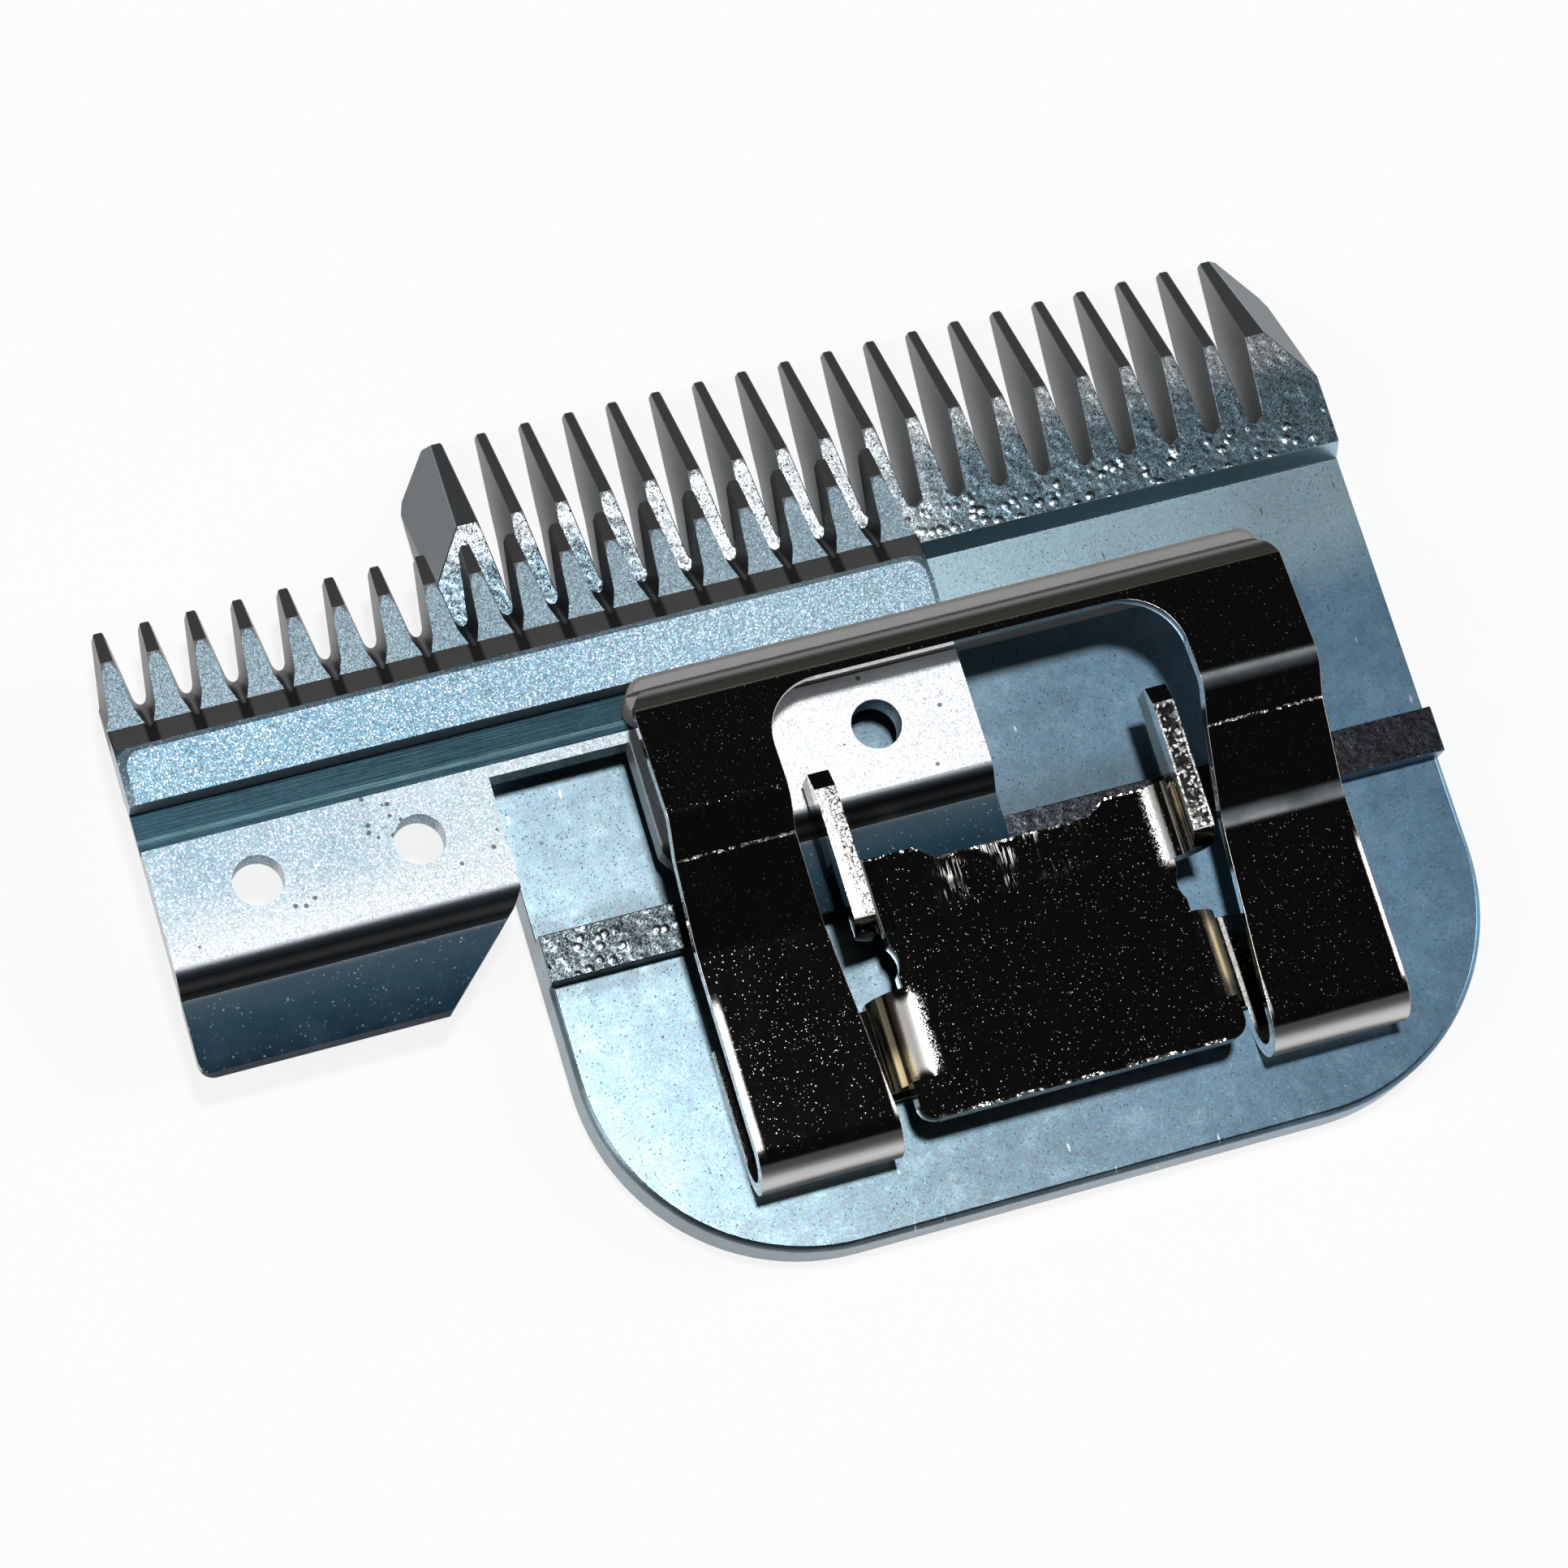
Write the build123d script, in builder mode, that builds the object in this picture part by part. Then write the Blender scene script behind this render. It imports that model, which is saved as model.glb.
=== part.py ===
from build123d import *
import math
import os

os.makedirs("parts", exist_ok=True)

# Detachable hair clipper blade set, lying on the flat sole of its comb.
# Millimetres. +X along the tooth line, +Y toward the teeth, +Z up, Z 0 on the sole.

# comb, the fixed blade
comb_width = 48.0
comb_rear = -21.55          # Y of the rear edge
comb_front = 24.6           # Y of the tooth tips
comb_corner = 11.5          # rear corner radius
plate = 2.9                 # floor thickness
rail_height = 1.2           # height of both rails above the floor
lap = plate + rail_height   # the plane the cutter slides on
front_rail_rear = 12.3
front_rail_slope = 0.55
rear_rail_front = -2.65
rear_rail_depth = 2.45
rear_rail_rear = rear_rail_front - rear_rail_depth
lap_front = 18.95           # where the tooth tops leave the lap plane
tip_lift = 0.25             # sole of the teeth rises to this at the tips
tip_height = 0.5
sole_front = 20.5
comb_pitch = 2.36
comb_gap_count = 18         # gives seventeen slim teeth between two wide end teeth
comb_gullet = 14.3
gullet_half = 0.42          # half width of a gap at its root, on the lap plane
gap_mid_half = 0.83         # the same where the tooth tops start to fall
gap_tip_half = 1.15         # the same at the tips
gap_draft = 0.30            # how much narrower a gap is at the sole, per side
bevel_slope = 0.80          # corner bevel of the end teeth
bevel_inner = (22.2, 18.7)  # two points of that bevel on the lap plane
bevel_outer = (23.9, 16.1)
rim_bevel = 0.25
tip_bevel = 0.2             # plan bevel on both sides of a tip, along the tooth
tip_slant = 0.5             # and its width for each unit of length
over = 0.2                  # how far a cut runs past the face that it opens
far = comb_front - comb_rear    # a length that runs clear of everything

# cutter, the moving blade, drawn around its own centre line and then shifted
cutter_rest = -20.8         # X of its centre as pictured, slid far out to the left
run_clear = 0.02            # running clearance under the cutter
cutter_half = 21.1
cutter_pitch = 2.372
cutter_tooth_count = 18
cutter_tip = 17.8
facet_front = 16.05
facet_rear = 12.4
body_front = 11.2
groove_front = 8.17
groove_rear = 5.93
bend_top = -0.5
bend_foot = -1.6
foot_rear = -5.45
cutter_tip_height = 0.35    # heights of the cutter above its own sole
facet_front_height = 1.0
facet_rear_height = 1.5
body_height = 2.5
groove_height = 0.9
flange_height = 2.1
relief_height = 0.4
foot_height = 0.9
cutter_sole = lap + run_clear
tip_top = cutter_sole + cutter_tip_height
facet_low = cutter_sole + facet_front_height
facet_high = cutter_sole + facet_rear_height
body_top = cutter_sole + body_height
groove_floor = cutter_sole + groove_height
flange_top = cutter_sole + flange_height
flange_under = cutter_sole + relief_height
foot_top = cutter_sole + foot_height
cutter_gullet = 13.8        # where a gap reaches through to the sole
slot_rear = 11.25           # where the same gap runs out in the top
flange_bend = 0.8
foot_bend = 0.6
body_step = 0.45            # upright front face of the raised body
body_corner = 1.2
body_end = 0.35
cut_half = 0.28             # half width of a gap at its root, on the sole
cut_tip_half = 0.82         # the same at the tips
cut_draft = 0.25            # how much a gap widens for each unit of height, per side
cut_root = 0.32             # radius of a gap's floor
cut_root_half = math.radians(60)    # half of the arc of that floor
cut_tip_bevel = 0.25
cut_tip_slant = 0.7
notch_half = 3.65           # drive notch
notch_front = 5.3
notch_corner = 0.8
notch_flare = 0.35
foot_gap_half = 8.5         # the foot's inner ends, at its rear edge
foot_corner = 0.8
foot_inner_corner = 1.8
foot_fall = 0.1             # the foot's top falls by this toward the rear
bend_drop = 0.55            # first part of the bend, at 45 degrees
relief_run = 0.4            # slant at both ends of the relief in the sole
relief_wall = 1.0           # from the groove to the front of that relief
nose_run = 0.3              # small bevel under the tips
nose_rise = 0.12
hole_dia = 2.6
hole_y = 3.1
hole_x = (-16.0, -7.8, 7.8, 16.0)

# hinge socket
sheet = 0.7                 # of the tension spring, whose leaf lies under the socket
leaf_top = plate + sheet
socket_sheet = 1.1
socket_height = 3.0
socket_top = leaf_top + socket_height
flat_half = 7.1             # half width of the flat top between the bends
seam = 0.1                  # overlap of a bend and the flat top
roll_bend = 2.2             # outer radius of the rolled sides, above and below
roll_low_bend = 0.8
roll_half = flat_half + roll_bend
roll_front = -10.3
roll_rear = -15.0
tab_gap_half = 1.8
socket_rear = -17.1
socket_rear_half = 8.6
waist_widen = 0.55          # the flat top is wider by this between the ears and the rolls
waist_half = flat_half + waist_widen
socket_corner = 0.9
front_edge = -3.6
front_step = 0.75           # the middle of the front edge sits back by this
step_inner = 4.1
step_outer = 5.05
ear_bend = 1.4              # inside radius of the bend into the ear
ear_out = flat_half - seam + ear_bend + socket_sheet
ear_side_clear = 1.4        # from the ears to the spring's arms
roll_side_clear = 0.5       # from the rolls to the spring's arms
ear_under_clear = 0.53      # from the cutter's flange to the ears above it
ear_rear = -7.5
ear_front = 0.9
ear_height = 2.4            # above the flat top
ear_top = socket_top + ear_height
ear_rear_run = 0.7          # slant of the ear's rear end
ear_nose_run = 1.0          # bevel at its upper front corner
ear_nose_drop = 0.55
ear_under = flange_top + ear_under_clear
relief_radius = 1.35
relief_y = ear_rear - relief_radius
relief_out = 1.65           # centre of a relief notch beside the flat top
relief_x = flat_half + relief_out

# tension spring, one bent sheet
spring_half = 17.15
hairpin_out = 2.0           # outer radius of the rear bends
hairpin_y = -16.2
strip_set_back = 0.1        # the cross strip under the socket, set back at its front
strip_over_run = 0.2        # and longer than the rolls at its rear
leaf_front = roll_front - strip_set_back
strip_rear = roll_rear - strip_over_run
arm_top = plate + 2 * hairpin_out
ramp_start = -6.2
crease_y = -1.77
crease_rise = 2.28          # above the cutter's flange
hump_rise = 1.6             # above the crease
shoulder_rise = 0.75
lip_set_back = 0.87         # from the front wall of the cutter's groove
crease_z = flange_top + crease_rise
hump_start = 0.0
hump_start_z = crease_z + hump_rise
lip_out = groove_front - lip_set_back
lip_shoulder_z = crease_z + shoulder_rise
ramp_bend = 3.0             # bend radii along the arm, from the rear forward
crease_bend = 0.3
hump_bend = 1.5
lip_bend = 1.65
opening_front = 5.45
opening_half = ear_out + ear_side_clear
opening_rear_half = roll_half + roll_side_clear
opening_corner = 3.0
lip_corner = 1.8

# guide, the rail under the lip that runs in the cutter's groove
guide_clear = 0.06          # each side and below
guide_inset = 0.25          # the guide is this much shorter than the spring at each end
guide_half = spring_half - guide_inset
guide_rise = 1.13           # above the cutter's body
guide_top = body_top + guide_rise
guide_bevel = 0.25
slot_depth = 0.6
slot_clear = 0.02

# screws
screw_x = 5.0
screw_y = (roll_front + roll_rear) / 2
screw_dia = 3.0
screw_head = 5.6
sink_angle = 82
screw_head_depth = (screw_head - screw_dia) / 2 / math.tan(math.radians(sink_angle / 2))
driver_slot = 0.8
driver_depth = 0.6
screw_clear = 0.02
shank_clear = 0.15
sole = Plane(origin=(0, 0, 0), x_dir=(1, 0, 0), z_dir=(0, 0, -1))


# one gap between comb teeth, narrower toward the sole
gap_taper = math.degrees(math.atan(gap_draft / lap))
gap_front = comb_front + gap_draft + over
gap_front_half = gap_tip_half + tip_slant * (gap_front - comb_front + tip_bevel)
with BuildPart() as comb_gap:
    with BuildSketch(Plane.XY.offset(lap)):
        root_y = comb_gullet + gullet_half
        with BuildLine():
            ThreePointArc((-gullet_half, root_y), (0, comb_gullet), (gullet_half, root_y))
            Polyline(
                (gullet_half, root_y),
                (gap_mid_half, lap_front),
                (gap_tip_half, comb_front - tip_bevel),
                (gap_front_half, gap_front),
                (-gap_front_half, gap_front),
                (-gap_tip_half, comb_front - tip_bevel),
                (-gap_mid_half, lap_front),
                (-gullet_half, root_y),
            )
        make_face()
    extrude(amount=-lap - over, taper=gap_taper)

with BuildPart() as comb:
    with BuildSketch(Plane.YZ):
        with BuildLine():
            Polyline(
                (comb_rear, 0),
                (sole_front, 0),
                (comb_front, tip_lift),
                (comb_front, tip_lift + tip_height),
                (lap_front, lap),
                (front_rail_rear, lap),
                (front_rail_rear - front_rail_slope, plate),
                (rear_rail_front, plate),
                (rear_rail_front, lap),
                (rear_rail_rear, lap),
                (rear_rail_rear, plate),
                (comb_rear, plate),
                close=True,
            )
        make_face()
    extrude(amount=comb_width / 2, both=True)
    rear_corners = comb.edges().filter_by(Axis.Z).group_by(Axis.Y)[0]
    fillet(rear_corners, comb_corner)
    rim = comb.edges().filter_by(lambda e: e.center().Y < rear_rail_rear)
    chamfer(rim.filter_by(lambda e: e.length > 2 * plate), rim_bevel)
    # the outer bevel of the two wide end teeth
    run = Vector(bevel_outer[0] - bevel_inner[0], bevel_outer[1] - bevel_inner[1], 0).normalized()
    for side in (1, -1):
        corner = Plane(
            origin=(side * bevel_inner[0], bevel_inner[1], lap),
            x_dir=(side * run.X, run.Y, 0),
            z_dir=(-side * run.Y, run.X, bevel_slope),
        )
        with Locations(corner):
            Box(far, far, far, align=(Align.CENTER, Align.CENTER, Align.MIN), mode=Mode.SUBTRACT)
    # the gaps between the teeth
    with GridLocations(comb_pitch, 1, comb_gap_count, 1):
        add(comb_gap.part, mode=Mode.SUBTRACT)
    # countersunk screw holes in the sole
    with Locations(sole):
        with Locations((-screw_x, -screw_y), (screw_x, -screw_y)):
            CounterSinkHole(
                radius=screw_dia / 2 + shank_clear,
                counter_sink_radius=screw_head / 2 + screw_clear,
                counter_sink_angle=sink_angle,
            )

comb.part.label = "comb"
export_step(comb.part, "parts/comb.step")


# one gap between cutter teeth: leaning walls, and a round floor that runs out upward at the rear
cut_flare = (cut_tip_half - cut_half) / (cutter_tip - cut_tip_bevel - cutter_gullet)
cut_reach = 2 * (cutter_tip - slot_rear)
cut_wide = cut_reach * math.hypot(cut_draft, cut_flare)
gap_walls = Plane(
    origin=(0, cutter_gullet, cutter_sole - cut_half / cut_draft),
    x_dir=(1, 0, 0),
    z_dir=(0, -cut_draft, cut_flare),
)
gap_floor = Plane(
    origin=(0, cutter_gullet, cutter_sole),
    x_dir=(1, 0, 0),
    z_dir=(0, slot_rear - cutter_gullet, body_top - cutter_sole),
)
root_x = cut_root * math.sin(cut_root_half)
root_z = cut_root * (1 - math.cos(cut_root_half))
root_top = root_z + (cut_reach - root_x) * math.tan(cut_root_half)
tip_half = cut_tip_half + cut_tip_slant * (cut_tip_bevel + over)
with BuildPart() as cutter_gap:
    with BuildSketch(gap_walls):
        with BuildLine():
            Polyline((0, 0), (cut_wide, cut_reach), (-cut_wide, cut_reach), close=True)
        make_face()
    extrude(amount=cut_reach, both=True)
    with BuildSketch(gap_floor):
        with BuildLine():
            ThreePointArc((-root_x, root_z), (0, 0), (root_x, root_z))
            Polyline((root_x, root_z), (cut_reach, root_top), (-cut_reach, root_top), (-root_x, root_z))
        make_face()
    extrude(amount=cut_reach, both=True, mode=Mode.INTERSECT)
    # rounds the tips beside it
    with BuildSketch(Plane.XY.offset(cutter_sole - over)):
        with BuildLine():
            Polyline(
                (cut_tip_half, cutter_tip - cut_tip_bevel),
                (tip_half, cutter_tip + over),
                (-tip_half, cutter_tip + over),
                (-cut_tip_half, cutter_tip - cut_tip_bevel),
                close=True,
            )
        make_face()
    extrude(amount=cutter_tip_height + 2 * over)

with BuildPart() as cutter:
    with BuildSketch(Plane.YZ):
        with BuildLine():
            Polyline(
                (foot_rear, cutter_sole),
                (bend_foot - relief_run, cutter_sole),
                (bend_foot, flange_under),
                (groove_front + relief_wall - relief_run, flange_under),
                (groove_front + relief_wall, cutter_sole),
                (cutter_tip - nose_run, cutter_sole),
                (cutter_tip, cutter_sole + nose_rise),
                (cutter_tip, tip_top),
                (facet_front, facet_low),
                (facet_rear, facet_high),
                (body_front, body_top - body_step),
                (body_front, body_top),
                (groove_front, body_top),
                (groove_front, groove_floor),
                (groove_rear, groove_floor),
                (groove_rear, flange_top),
                (bend_top, flange_top),
                (bend_top - bend_drop, flange_top - bend_drop),
                (bend_foot, foot_top + foot_fall),
                (foot_rear + foot_fall, foot_top),
                close=True,
            )
        side_face = make_face()
        fillet(side_face.vertices().sort_by_distance((bend_top, flange_top))[0], flange_bend)
        fillet(side_face.vertices().sort_by_distance((bend_foot, foot_top + foot_fall))[0], foot_bend)
    extrude(amount=cutter_half, both=True)
    # plan outline: rounded flange and foot corners, feet cut back at the middle
    with BuildSketch(Plane.XY):
        with BuildLine():
            Polyline(
                (cutter_half, cutter_tip + over),
                (cutter_half, foot_rear),
                (foot_gap_half, foot_rear),
                (notch_half + notch_flare, bend_top - bend_drop),
                (notch_half, bend_top),
                (notch_half, notch_front),
                (-notch_half, notch_front),
                (-notch_half, bend_top),
                (-notch_half - notch_flare, bend_top - bend_drop),
                (-foot_gap_half, foot_rear),
                (-cutter_half, foot_rear),
                (-cutter_half, cutter_tip + over),
                close=True,
            )
        plan = make_face()
        notch_ends = plan.vertices().filter_by(lambda v: abs(v.Y - notch_front) < over)
        rear_ends = plan.vertices().group_by(Axis.Y)[0].sort_by(Axis.X)
        fillet([rear_ends[0], rear_ends[-1]], foot_corner)
        fillet(rear_ends[1:-1], foot_inner_corner)
        fillet(notch_ends, notch_corner)
    extrude(amount=far, mode=Mode.INTERSECT)
    # rounded front corners and bevelled ends of the raised body
    with BuildSketch(Plane.XY.offset(body_top - body_step)):
        for side in (1, -1):
            with Locations((side * cutter_half, body_front)):
                Rectangle(2 * body_corner, 2 * body_corner)
            with Locations((side * (cutter_half - body_corner), body_front - body_corner)):
                Circle(body_corner, mode=Mode.SUBTRACT)
    extrude(amount=2 * body_step, mode=Mode.SUBTRACT)
    top_edges = cutter.edges().group_by(Axis.Z)[-1]
    chamfer(top_edges.filter_by(lambda e: abs(e.center().X) > cutter_half - body_corner), body_end)
    # the gaps between the teeth, and one outside each end tooth
    with GridLocations(cutter_pitch, 1, cutter_tooth_count + 1, 1):
        add(cutter_gap.part, mode=Mode.SUBTRACT)
    # round holes in the flange
    with BuildSketch(Plane.XY.offset(cutter_sole)):
        with Locations(*[(x, hole_y) for x in hole_x]):
            Circle(hole_dia / 2)
    extrude(amount=body_top, mode=Mode.SUBTRACT)

cutter_set = Pos(cutter_rest, 0, 0) * cutter.part
cutter_set.label = "cutter"
export_step(cutter_set, "parts/cutter.step")

with BuildPart() as spring:
    # side profile of the whole sheet, drawn along its outer face
    with BuildSketch(Plane.YZ):
        with BuildLine():
            leaf = Line((leaf_front, plate), (hairpin_y, plate))
            turn = ThreePointArc(
                leaf @ 1,
                (hairpin_y - hairpin_out, plate + hairpin_out),
                (hairpin_y, arm_top),
            )
            FilletPolyline(
                turn @ 1,
                (ramp_start, arm_top),
                (crease_y, crease_z),
                (hump_start, hump_start_z),
                (lip_out, lip_shoulder_z),
                (lip_out, guide_top - slot_depth),
                radius=[ramp_bend, crease_bend, hump_bend, lip_bend],
            )
            offset(amount=sheet, side=Side.RIGHT)
        make_face()
    extrude(amount=spring_half, both=True)
    # the opening between the arms
    with BuildSketch(Plane.XY.offset(leaf_top + over)):
        with BuildLine():
            Polyline(
                (-opening_half, opening_front),
                (opening_half, opening_front),
                (opening_half, crease_y),
                (opening_rear_half, hairpin_y),
                (opening_rear_half, -far),
                (-opening_rear_half, -far),
                (-opening_rear_half, hairpin_y),
                (-opening_half, crease_y),
                close=True,
            )
        window = make_face()
        fillet(window.vertices().group_by(Axis.Y)[-1], opening_corner)
    extrude(amount=far, mode=Mode.SUBTRACT)
    with BuildSketch(Plane.XY):
        with Locations((0, strip_rear)):
            Rectangle(2 * opening_rear_half, far, align=(Align.CENTER, Align.MAX))
    extrude(amount=far, mode=Mode.SUBTRACT)
    # rounded front corners of the lip
    with BuildSketch(Plane.XY):
        with Locations((0, lip_out - far)):
            RectangleRounded(2 * spring_half, 2 * far, lip_corner)
    extrude(amount=far, mode=Mode.INTERSECT)
    with BuildSketch(Plane.XY):
        with Locations((-screw_x, screw_y), (screw_x, screw_y)):
            Circle(screw_dia / 2 + shank_clear)
    extrude(amount=leaf_top + over, mode=Mode.SUBTRACT)

spring.part.label = "tension_spring"
export_step(spring.part, "parts/tension_spring.step")

with BuildPart() as guide:
    guide_rear = groove_rear + guide_clear
    guide_front = groove_front - guide_clear
    guide_depth = guide_front - guide_rear
    with BuildSketch(Plane.XY.offset(groove_floor + guide_clear)):
        with Locations((0, (guide_rear + guide_front) / 2)):
            SlotOverall(2 * guide_half, guide_depth)
    extrude(amount=guide_top - groove_floor - guide_clear)
    chamfer(guide.faces().sort_by(Axis.Z)[-1].edges(), guide_bevel)
    # the slot that takes the lip of the spring
    with BuildSketch(Plane.XY.offset(guide_top)):
        with Locations((0, lip_out + slot_clear)):
            Rectangle(
                4 * guide_half, sheet + 2 * slot_clear, align=(Align.CENTER, Align.MAX)
            )
    extrude(amount=-slot_depth, mode=Mode.SUBTRACT)

guide.part.label = "spring_guide"
export_step(guide.part, "parts/spring_guide.step")

with BuildPart() as socket:
    roll_out = (socket_top - leaf_top) / 2
    roll_in = roll_out - socket_sheet
    roll_mid = (socket_top + leaf_top) / 2
    # rolled sides with the base tabs turned in below
    with BuildSketch(Plane.XZ.offset(-roll_rear)):
        with Locations((0, roll_mid)):
            outside = Rectangle(2 * roll_half, 2 * roll_out)
        fillet(outside.vertices().group_by(Axis.Y)[-1], roll_bend)
        fillet(outside.vertices().group_by(Axis.Y)[0], roll_low_bend)
        with Locations((0, roll_mid)):
            SlotOverall(2 * (roll_half - socket_sheet), 2 * roll_in, mode=Mode.SUBTRACT)
        with Locations((0, leaf_top)):
            Rectangle(2 * tab_gap_half, 2 * socket_sheet, mode=Mode.SUBTRACT)
    extrude(amount=-(roll_front - roll_rear))
    # the top plate
    with BuildSketch(Plane.XY.offset(socket_top - socket_sheet)):
        with BuildLine():
            Polyline(
                (flat_half, front_edge),
                (step_outer, front_edge),
                (step_inner, front_edge - front_step),
                (-step_inner, front_edge - front_step),
                (-step_outer, front_edge),
                (-flat_half, front_edge),
                (-flat_half, ear_rear),
                (-waist_half, ear_rear),
                (-waist_half, roll_front),
                (-flat_half, roll_front),
                (-flat_half, roll_rear),
                (-socket_rear_half, roll_rear),
                (-socket_rear_half, socket_rear),
                (socket_rear_half, socket_rear),
                (socket_rear_half, roll_rear),
                (flat_half, roll_rear),
                (flat_half, roll_front),
                (waist_half, roll_front),
                (waist_half, ear_rear),
                (flat_half, ear_rear),
                close=True,
            )
        top = make_face()
        fillet(top.vertices().group_by(Axis.Y)[0], socket_corner)
    extrude(amount=socket_sheet)
    # the bends up into the ears
    bend_x = ear_out - socket_sheet - ear_bend
    bend_z = socket_top + ear_bend
    with BuildSketch(Plane.XZ.offset(-ear_rear)):
        for side in (1, -1):
            with BuildLine():
                inner_start = (side * bend_x, socket_top)
                inner_end = (side * (bend_x + ear_bend), bend_z)
                outer_start = (side * bend_x, socket_top - socket_sheet)
                outer_end = (side * ear_out, bend_z)
                Line(outer_start, inner_start)
                RadiusArc(inner_start, inner_end, -side * ear_bend)
                Line(inner_end, outer_end)
                RadiusArc(outer_end, outer_start, side * (ear_bend + socket_sheet))
            make_face()
    extrude(amount=-(front_edge - ear_rear))
    # the ears
    for side in (1, -1):
        with BuildSketch(Plane.YZ.offset(side * ear_out)):
            with BuildLine():
                Polyline(
                    (ear_rear, bend_z),
                    (ear_rear + ear_rear_run, ear_top),
                    (ear_front - ear_nose_run, ear_top),
                    (ear_front, ear_top - ear_nose_drop),
                    (ear_front, ear_under),
                    (front_edge, ear_under),
                    (front_edge, bend_z),
                    close=True,
                )
            make_face()
        extrude(amount=-side * socket_sheet)
    # relief notches between the ears and the rolls
    with BuildSketch(Plane.XY.offset(roll_mid)):
        with Locations((relief_x, relief_y), (-relief_x, relief_y)):
            Circle(relief_radius)
    extrude(amount=far, mode=Mode.SUBTRACT)
    # threaded holes in the base tabs
    with BuildSketch(Plane.XY.offset(leaf_top)):
        with Locations((-screw_x, screw_y), (screw_x, screw_y)):
            Circle(screw_dia / 2 + screw_clear)
    extrude(amount=socket_sheet, mode=Mode.SUBTRACT)

socket.part.label = "socket"
export_step(socket.part, "parts/socket.step")

with BuildPart() as screws:
    with Locations((-screw_x, screw_y, 0), (screw_x, screw_y, 0)):
        Cone(
            screw_head / 2,
            screw_dia / 2,
            screw_head_depth,
            align=(Align.CENTER, Align.CENTER, Align.MIN),
        )
        Cylinder(
            screw_dia / 2,
            leaf_top + socket_sheet,
            align=(Align.CENTER, Align.CENTER, Align.MIN),
        )
    # driver slots
    with Locations((-screw_x, screw_y, 0), (screw_x, screw_y, 0)):
        Box(screw_head + over, driver_slot, 2 * driver_depth, mode=Mode.SUBTRACT)

screws.part.label = "screws"
export_step(screws.part, "parts/screws.step")
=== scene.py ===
import math
import bpy
from mathutils import Matrix, Vector

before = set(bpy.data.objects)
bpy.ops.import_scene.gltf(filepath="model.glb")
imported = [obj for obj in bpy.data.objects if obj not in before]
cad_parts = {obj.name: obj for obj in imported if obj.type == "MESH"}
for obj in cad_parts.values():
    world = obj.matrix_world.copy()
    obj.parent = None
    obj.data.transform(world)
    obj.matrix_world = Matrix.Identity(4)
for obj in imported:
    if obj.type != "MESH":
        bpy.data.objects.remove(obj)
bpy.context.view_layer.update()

MM = 0.001


# short calls for building nodes
class Nodes:
    def __init__(self, tree):
        self.tree = tree

    def node(self, kind, **settings):
        made = self.tree.nodes.new(kind)
        for key, value in settings.items():
            setattr(made, key, value)
        return made

    def feed(self, socket, value):
        if isinstance(value, bpy.types.NodeSocket):
            self.tree.links.new(value, socket)
        else:
            socket.default_value = value

    def math(self, operation, *values):
        made = self.node("ShaderNodeMath", operation=operation)
        for socket, value in zip(made.inputs, values):
            self.feed(socket, value)
        return made.outputs[0]

    def product(self, *values):
        total = values[0]
        for value in values[1:]:
            total = self.math("MULTIPLY", total, value)
        return total

    def most(self, *values):
        total = values[0]
        for value in values[1:]:
            total = self.math("MAXIMUM", total, value)
        return total

    # 1 less the value, which turns a mask round
    def other(self, value):
        return self.math("SUBTRACT", 1, value)

    def vector(self, operation, *values):
        made = self.node("ShaderNodeVectorMath", operation=operation)
        for socket, value in zip(made.inputs, values):
            self.feed(socket, value)
        return made.outputs[0]

    def scaled(self, vector, factor):
        made = self.node("ShaderNodeVectorMath", operation="SCALE")
        self.feed(made.inputs[0], vector)
        self.feed(made.inputs["Scale"], factor)
        return made.outputs[0]

    def split(self, vector):
        made = self.node("ShaderNodeSeparateXYZ")
        self.feed(made.inputs[0], vector)
        return made.outputs

    # 0 below low, 1 above high, smooth between; low above high turns it round
    def step(self, value, low, high):
        made = self.node("ShaderNodeMapRange", interpolation_type="SMOOTHSTEP")
        if low > high:
            low, high = high, low
            made.inputs["To Min"].default_value = 1
            made.inputs["To Max"].default_value = 0
        self.feed(made.inputs["Value"], value)
        made.inputs["From Min"].default_value = low
        made.inputs["From Max"].default_value = high
        return made.outputs[0]

    # 1 between low and high, with soft ends
    def band(self, value, low, high, soft):
        rise = self.step(value, low - soft, low)
        fall = self.step(value, high + soft, high)
        return self.math("MULTIPLY", rise, fall)

    # straight from start to end as the value goes from low to high
    def line(self, value, low, high, start=0.0, end=1.0):
        made = self.node("ShaderNodeMapRange")
        self.feed(made.inputs["Value"], value)
        keys = ("From Min", "From Max", "To Min", "To Max")
        for key, number in zip(keys, (low, high, start, end)):
            made.inputs[key].default_value = number
        return made.outputs[0]

    def mix(self, factor, low, high):
        made = self.node("ShaderNodeMix", data_type="FLOAT")
        self.feed(made.inputs[0], factor)
        self.feed(made.inputs[2], low)
        self.feed(made.inputs[3], high)
        return made.outputs[0]


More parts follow.
